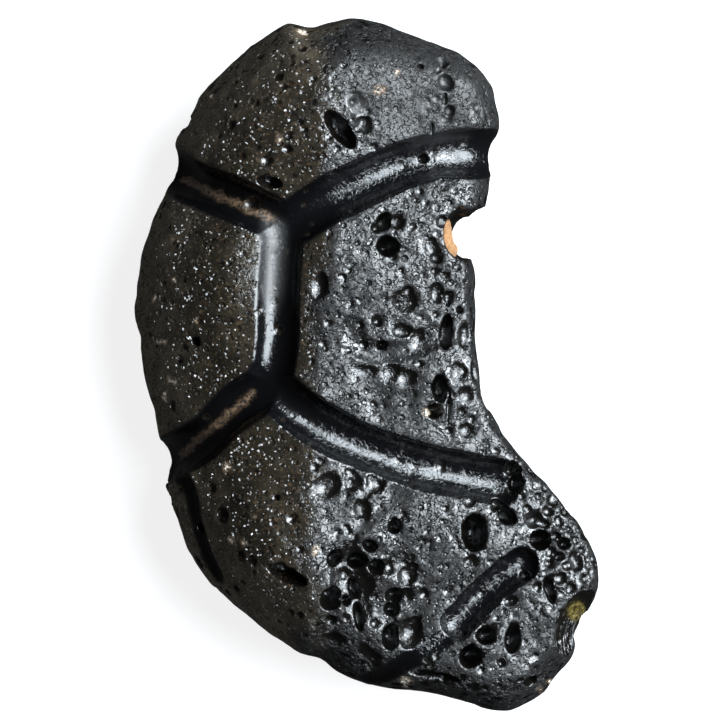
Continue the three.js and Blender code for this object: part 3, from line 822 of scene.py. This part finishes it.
def add_stone_masks(obj, grid, grooves, pits, flakes, rng):
    """Keeps on the mesh, from 0 to 1, where each look of its surface lies."""
    places = vertex_places(obj)
    x, y, _ = places.T
    in_pit = smoothstep(*PIT_FADE, grid.sample(pits, places))
    soil_and_reflection_fringe = grid.sample(unevenness(grid, SOIL_AND_REFLECTION_WAVES, rng), places)
    dust_and_bounce_fringe = grid.sample(unevenness(grid, DUST_AND_BOUNCE_WAVES, rng), places)
    dust_and_bounce = smoothstep(*DUST_AND_BOUNCE_LINE, past_ridge(x, y) + dust_and_bounce_fringe)
    masks = {
        "groove": smoothstep(*GROOVE_FADE, grid.sample(grooves, places)) * (1 - in_pit),
        "pit": in_pit,
        "flaked": smoothstep(*PIT_FADE, grid.sample(flakes, places)),
        "thin": thin_share(places),
        "dull": dull_share(places),
        # Soil: spots of real soil, and lines along two groove floors that are partly a painted
        # reflection.
        "soil_and_reflection": soil_and_reflection_share(places, soil_and_reflection_fringe),
        # Dust and silt: partly real, partly painted warm bounce light left of the ridge and at the edge
        # there.
        "dust_and_bounce": dust_and_bounce,
        "silt_and_bounce": dust_and_bounce * smoothstep(*SILT_AND_BOUNCE_BAND, inset(x, y)),
    }
    for name, values in masks.items():
        add_mask(obj, name, values)


def build_stone():
    """The stone: its skin, less valley, grooves, scoop, pits, spalls and the breach."""
    rng = np.random.default_rng(SEED)
    low, high = (np.array(corner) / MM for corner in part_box("tektite"))
    grid = Grid(low - GRID_MARGIN, high + GRID_MARGIN, STEP)
    skin = skin_field(grid, rng)
    grooves = groove_field(grid, GROOVES) + unevenness(grid, GROOVE_WAVES, rng)
    stone = smooth_max(skin, -groove_field(grid, VALLEYS), VALLEY_WEAR)
    stone = smooth_max(stone, -grooves, GROOVE_WEAR)
    scoops = groove_field(grid, SCOOPS) + unevenness(grid, SCOOP_WAVES, rng)
    stone = smooth_max(stone, -scoops, SCOOP_WEAR)
    pits = scoops + SCOOP_SHRUNK
    carve_placed(grid, stone, pits)
    flakes = carve_spalls(grid, stone)
    pits = np.minimum(pits, flakes)
    for centre, half in (BREACH, BREACH_MOUTH):
        carve(grid, stone, pits, (centre, np.eye(3), half))
    carve_strewn(grid, stone, pits, grooves, rng)
    stone = np.maximum(stone, -grid.places()[2])
    obj = mesh_object("tektite_stone", *largest_shell(*surface_net(grid, stone)))
    thin_out(obj)
    add_stone_masks(obj, grid, grooves, pits, flakes, rng)
    obj.data.shade_smooth()
    return obj


def build_clay():
    """The clay on the breach's inner wall: a curved lining with a granular face."""
    rng = np.random.default_rng(SEED + 1)
    centre, half = (np.array(values) for values in CLAY)
    grid = Grid(centre - half - CLAY_MARGIN, centre + half + CLAY_MARGIN, CLAY_STEP)
    x, y, z = grid.places()
    axes = np.eye(3)
    lump = ellipsoid_field(x, y, z, CLAY[0], axes, CLAY[1])
    room = ellipsoid_field(x, y, z, BREACH[0], axes, np.array(BREACH[1]) + CLAY_PRESSED)
    bared = ellipsoid_field(x, y, z, np.array(BREACH[0]) + CLAY_BARED, axes, BREACH[1])
    for wave in CLAY_WAVES:
        bared = bared - unevenness(grid, [wave], rng)
    back_wear, face_wear = CLAY_WEAR
    clay = smooth_max(smooth_max(lump, room, back_wear), -bared, face_wear)
    obj = mesh_object("clay_lining", *largest_shell(*surface_net(grid, clay)))
    obj.data.shade_smooth()
    return obj


# ---- Materials ----

# Colours, as linear red, green and blue: one, or the darker and the lighter of a mottled pair.
CLEAN = ((0.004, 0.004, 0.0042), (0.007, 0.0065, 0.006))
# Dust and silt are partly real dust and silt, and partly painted warm bounce light on the side turned
# from the key light.
DUST_AND_BOUNCE_TONES = ((0.009, 0.0076, 0.0055), (0.016, 0.0132, 0.009))
SILT_AND_BOUNCE_TONES = ((0.026, 0.0225, 0.0172), (0.046, 0.038, 0.0275))
PIT_GLASS = (0.002, 0.0017, 0.0014)
GROOVE_GLASS = (0.0015, 0.0015, 0.0018)
# Painted light: the thin chip's colours stand in for light shining through the glass.
PAINTED_THROUGH_LIGHT = ((0.012, 0.007, 0.002), (0.075, 0.06, 0.016))
# Earth: real soil on the spots; along two groove floors, partly soil and partly a painted reflection of
# a warm surround.
EARTH_AND_REFLECTION = ((0.2, 0.125, 0.07), (0.7, 0.6, 0.48))
GRANULES = ((0.13, 0.06, 0.02), (0.24, 0.125, 0.05))
FLOOR_GREY = (0.25, 0.25, 0.25)
WHITE = (1, 1, 1)

# Roughness of the glass: the range of the worn skin, and where a mask is full, in this order.
WORN = (0.38, 0.48)
ROUGHNESS = {"dust_and_bounce": 0.18, "smooth": 0.16, "pit": 0.24, "groove": 0.16, "dull": 0.8, "soil_and_reflection": 0.8}
GLASS_IOR = 1.5
CLAY_ROUGHNESS = 0.9
FLOOR_ROUGHNESS = 0.9
FLOOR_GLOW = 0.85

# How much of the bumps is left in pits, in grooves, of the creases in grooves, and under dust.
IN_PITS = 0.25
IN_GROOVES = 0.12
CREASED_IN_GROOVES = 0.22
UNDER_DUST = 0.15

SPECKS = 0.12  # how strong the specks of soil in the dust are
FACET_LEAN = (0.62, 0.53, 0.5)  # over 0.5, the facets look more towards that axis


def new_material(name):
    material = bpy.data.materials.new(name)
    material.use_nodes = True
    return material, material.node_tree.nodes["Principled BSDF"], material.node_tree


def feed(tree, value, socket):
    """Gives a socket a node's output, a number, or a colour or vector as a tuple."""
    if isinstance(value, (int, float)):
        socket.default_value = value
    elif isinstance(value, tuple):
        socket.default_value = (*value, 1)[:len(socket.default_value)]
    else:
        tree.links.new(value, socket)


def feed_all(tree, node, inputs):
    for name, value in inputs.items():
        feed(tree, value, node.inputs[name])


def new_node(tree, kind, inputs=None, **settings):
    """A shader node of that kind, with its settings made and its inputs fed."""
    node = tree.nodes.new("ShaderNode" + kind)
    for name, value in settings.items():
        setattr(node, name, value)
    feed_all(tree, node, inputs or {})
    return node


def mask_node(tree, name):
    return new_node(tree, "Attribute", attribute_name=name).outputs["Fac"]


def own_space(tree):
    """Places in the object's own space, in metres."""
    return new_node(tree, "TexCoord").outputs["Object"]


def noise_node(tree, per_mm, detail=3, roughness=0.55, distortion=0.0):
    """Noise in the object's own space, with so many features to the mm."""
    return new_node(tree, "TexNoise", {
        "Vector": own_space(tree), "Scale": per_mm / MM, "Detail": detail,
        "Roughness": roughness, "Distortion": distortion,
    }).outputs["Fac"]


def ramp_node(tree, source, low, high, from_value=0.0, to_value=1.0):
    """Turns low..high into the range of the two values, and cuts off what is beyond."""
    return new_node(tree, "MapRange", {
        "Value": source, "From Min": low, "From Max": high, "To Min": from_value, "To Max": to_value,
    }).outputs["Result"]


def mix_color(tree, share, a, b):
    inputs = {"Factor": share, 6: a, 7: b}
    return new_node(tree, "Mix", inputs, data_type="RGBA").outputs[2]


def mix_value(tree, share, a, b):
    return new_node(tree, "Mix", {"Factor": share, 2: a, 3: b}).outputs[0]


def math_node(tree, operation, *values):
    return new_node(tree, "Math", dict(enumerate(values)), operation=operation).outputs[0]


def product(tree, a, b):
    return math_node(tree, "MULTIPLY", a, b)


def vector_node(tree, operation, a, b):
    return new_node(tree, "VectorMath", {0: a, 1: b}, operation=operation).outputs


def cells_node(tree, per_mm):
    """Cells about random points, with so many of them to the mm."""
    inputs = {"Vector": own_space(tree), "Scale": per_mm / MM}
    return new_node(tree, "TexVoronoi", inputs).outputs


def creases(tree, per_mm, width):
    """Heights of thin winding creases: 0 in them, 1 on the plateaus between."""
    noise = noise_node(tree, per_mm, detail=2, roughness=0.6, distortion=0.8)
    away = math_node(tree, "ABSOLUTE", math_node(tree, "SUBTRACT", noise, 0.5))
    return ramp_node(tree, away, 0, width)


def bubble_pits(tree, per_mm, radius, share):
    """Heights of round pits strewn at random: 0 outside them, -1 at the bottom."""
    cells = cells_node(tree, per_mm)
    away = ramp_node(tree, cells["Distance"], 0, radius)
    squared = product(tree, away, away)
    round_form = math_node(tree, "SQRT", math_node(tree, "SUBTRACT", 1.0, squared))
    kept = math_node(tree, "LESS_THAN", cells["Color"], share)
    return product(tree, product(tree, round_form, kept), -1.0)


def facets(tree, per_mm, share):
    """Heights in mm of small flat faces, each tilted its own way, and where they lie."""
    cells = cells_node(tree, per_mm)
    offset = vector_node(tree, "SUBTRACT", own_space(tree), cells["Position"])["Vector"]
    tilt = vector_node(tree, "SUBTRACT", cells["Color"], FACET_LEAN)["Vector"]
    height = vector_node(tree, "DOT_PRODUCT", offset, tilt)["Value"]
    chance = new_node(tree, "SeparateColor", {"Color": cells["Color"]}).outputs["Blue"]
    kept = math_node(tree, "LESS_THAN", chance, share)
    return product(tree, product(tree, height, kept), 1 / MM), kept


def ribs(tree, across, along):
    """Heights of fine ribs that run along Y; the scales are in features per mm."""
    scale = (across / MM, along / MM, across / MM)
    stretched = new_node(tree, "Mapping", {"Vector": own_space(tree), "Scale": scale})
    noise = new_node(tree, "TexNoise", {"Vector": stretched.outputs["Vector"], "Scale": 1})
    return noise.outputs["Fac"]


def add_bumps(tree, shader, layers):
    """Chains bump nodes: height, strength, distance in mm."""
    below = {}
    for height, strength, distance in layers:
        inputs = {"Height": height, "Strength": strength, "Distance": distance * MM}
        bump = new_node(tree, "Bump", inputs | below)
        below = {"Normal": bump.outputs["Normal"]}
    feed_all(tree, shader, below)


def soil_and_reflection_cover(tree, masks):
    """Where soil hides the glass: its own places, partly a painted reflection along two groove floors,
    broken into grains, and specks in the dust left of the ridge.
    """
    grit = ramp_node(tree, noise_node(tree, 3.4, detail=3, roughness=0.7), 0.4, 0.62)
    specks = ramp_node(tree, noise_node(tree, 2.6, detail=2, roughness=0.6), 0.56, 0.66)
    bare_share = math_node(tree, "SUBTRACT", SPECKS, product(tree, masks["groove"], SPECKS))
    specks = product(tree, specks, product(tree, masks["dust_and_bounce"], bare_share))
    return math_node(tree, "MAXIMUM", product(tree, masks["soil_and_reflection"], grit), specks)


def stone_color(tree, masks):
    """Black glass; dust left of the ridge and silt at its edge, partly painted warm bounce light; soil,
    partly a painted reflection; painted light in the thin chip.
    """
    mottle = ramp_node(tree, noise_node(tree, 0.5, detail=4), 0.4, 0.65)
    clean, dust_and_bounce_color, silt_and_bounce_color = (mix_color(tree, mottle, *pair) for pair in (CLEAN, DUST_AND_BOUNCE_TONES, SILT_AND_BOUNCE_TONES))
    # Painted warm bounce light, partly real dust and silt, left of the ridge and at its edge.
    color = mix_color(tree, masks["dust_and_bounce"], clean, dust_and_bounce_color)
    color = mix_color(tree, masks["silt_and_bounce"], color, silt_and_bounce_color)
    color = mix_color(tree, masks["pit"], color, PIT_GLASS)
    color = mix_color(tree, masks["groove"], color, GROOVE_GLASS)
    # Painted light shining through the thin chip.
    patchy = ramp_node(tree, noise_node(tree, 2.4, detail=2, roughness=0.5), 0.35, 0.65)
    color = mix_color(tree, masks["thin"], color, mix_color(tree, patchy, *PAINTED_THROUGH_LIGHT))
    # Earth: partly soil, and along two groove floors partly a painted reflection.
    earth_and_reflection = mix_color(tree, ramp_node(tree, masks["soil_and_reflection"], 0.65, 0.95), *EARTH_AND_REFLECTION)
    return mix_color(tree, soil_and_reflection_cover(tree, masks), color, earth_and_reflection)


def stone_roughness(tree, masks):
    roughness = ramp_node(tree, noise_node(tree, 1.4, detail=4), 0.3, 0.7, *WORN)
    for name, value in ROUGHNESS.items():
        roughness = mix_value(tree, masks[name], roughness, value)
    return roughness


def stone_bumps(tree, masks, tilted, pits, fine_pits):
    """The bumps of the glass: height, strength, distance in mm."""
    in_pits = mix_value(tree, masks["pit"], 1.0, IN_PITS)
    strength = mix_value(tree, masks["groove"], in_pits, IN_GROOVES)
    dusted = mix_value(tree, masks["dust_and_bounce"], 1.0, UNDER_DUST)
    peeled = product(tree, strength, dusted)
    crease_share = mix_value(tree, masks["groove"], strength, CREASED_IN_GROOVES)
    return [
        (ribs(tree, across=2.2, along=0.3), masks["flaked"], 0.5),
        (noise_node(tree, 0.9, detail=1, roughness=0.5), peeled, 0.05),
        (noise_node(tree, 2.1, detail=2, roughness=0.6), peeled, 0.08),
        (creases(tree, per_mm=1.4, width=0.04), product(tree, crease_share, dusted), 0.14),
        (tilted, product(tree, strength, masks["dust_and_bounce"]), 2.4),
        (pits, strength, 0.2),
        (fine_pits, strength, 0.1),
    ]


def stone_material():
    material, shader, tree = new_material("tektite_glass")
    names = ("groove", "pit", "flaked", "thin", "dull", "dust_and_bounce", "silt_and_bounce", "soil_and_reflection")
    masks = {name: mask_node(tree, name) for name in names}
    pits = bubble_pits(tree, per_mm=0.85, radius=0.32, share=0.5)
    fine_pits = bubble_pits(tree, per_mm=1.7, radius=0.36, share=0.5)
    tilted, on_facet = facets(tree, per_mm=5.0, share=0.16)
    in_pits = product(tree, math_node(tree, "MINIMUM", pits, fine_pits), -1.0)
    glints = product(tree, on_facet, masks["dust_and_bounce"])
    masks["smooth"] = math_node(tree, "MAXIMUM", in_pits, glints)
    feed_all(tree, shader, {
        "Base Color": stone_color(tree, masks),
        "Roughness": stone_roughness(tree, masks),
        "IOR": GLASS_IOR,
    })
    add_bumps(tree, shader, stone_bumps(tree, masks, tilted, pits, fine_pits))
    return material


def clay_material():
    material, shader, tree = new_material("clay")
    grains = ramp_node(tree, noise_node(tree, 3.2, detail=4, roughness=0.7), 0.35, 0.65)
    color = mix_color(tree, grains, *GRANULES)
    feed_all(tree, shader, {"Base Color": color, "Roughness": CLAY_ROUGHNESS})
    add_bumps(tree, shader, [(noise_node(tree, 5, detail=3, roughness=0.7), 0.7, 0.08)])
    return material


def floor_material():
    material, shader, tree = new_material("floor_white")
    feed_all(tree, shader, {
        "Base Color": FLOOR_GREY, "Roughness": FLOOR_ROUGHNESS,
        "Emission Color": WHITE, "Emission Strength": FLOOR_GLOW,
    })
    return material


# ---- Stage, light and camera, in metres ----

FLOOR_HALF = 1.5
FLOOR_DROP = 0.02 * MM  # the floor is just clear of the stone's flat, so the two don't coincide

# The place of both lights, and what they look at.
LIGHT_PLACE = (0.42, 0.125, 0.46)
LIGHT_TARGET = (0, 0, 0.01)

# Lights: name, size, power in W, colour. The small one makes the sharp glints.
LIGHTS = [("key", 0.66, 20, (0.84, 0.93, 1.0)), ("spark", 0.1, 5, (0.95, 0.98, 1.0))]
WORLD_COLOR = (0.95, 0.97, 1.0)
WORLD_POWER = 0.03

SENSOR_MM = 36
CAMERA_X = -0.0006
CAMERA_Y = 0.0003
CAMERA_DISTANCE = 0.7  # above the widest line's height
RIM_HEIGHT = 0.0095
VIEW_WIDTH = 0.0756  # at that height


def build_floor():
    mesh = bpy.data.meshes.new("floor")
    signs = ((-1, -1), (1, -1), (1, 1), (-1, 1))
    corners = [(sx * FLOOR_HALF, sy * FLOOR_HALF, -FLOOR_DROP) for sx, sy in signs]
    mesh.from_pydata(corners, [], [(0, 1, 2, 3)])
    floor = bpy.data.objects.new("floor", mesh)
    bpy.context.scene.collection.objects.link(floor)
    floor.data.materials.append(floor_material())
    floor.visible_glossy = False


def aim(obj, place, target):
    """Puts an object at a place, looking at the target."""
    obj.location = place
    away = np.array(place) - np.array(target)
    level = math.hypot(away[0], away[1])
    obj.rotation_euler = (math.atan2(level, away[2]), 0, math.atan2(away[1], away[0]) + math.pi / 2)


def add_area_light(name, size, power, color):
    light = bpy.data.lights.new(name, "AREA")
    light.shape = "DISK"
    light.size = size
    light.energy = power
    light.color = color
    obj = bpy.data.objects.new(name, light)
    bpy.context.scene.collection.objects.link(obj)
    aim(obj, LIGHT_PLACE, LIGHT_TARGET)


def add_lights():
    for light in LIGHTS:
        add_area_light(*light)
    world = bpy.data.worlds.new("studio")
    world.use_nodes = True
    tree = world.node_tree
    feed_all(tree, tree.nodes["Background"], {"Color": WORLD_COLOR, "Strength": WORLD_POWER})
    bpy.context.scene.world = world


def add_camera():
    """Looks straight down on the stone as it lies."""
    camera = bpy.data.cameras.new("camera")
    camera.sensor_width = SENSOR_MM
    camera.lens = SENSOR_MM * CAMERA_DISTANCE / VIEW_WIDTH
    obj = bpy.data.objects.new("camera", camera)
    obj.location = (CAMERA_X, CAMERA_Y, RIM_HEIGHT + CAMERA_DISTANCE)
    bpy.context.scene.collection.objects.link(obj)
    bpy.context.scene.camera = obj


stone = build_stone()
stone.data.materials.append(stone_material())
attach(stone, "root")
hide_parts("tektite")

clay = build_clay()
clay.data.materials.append(clay_material())
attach(clay, "root")
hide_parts("clay_infill")

build_floor()
add_lights()
add_camera()
bpy.context.scene.view_settings.view_transform = "Standard"
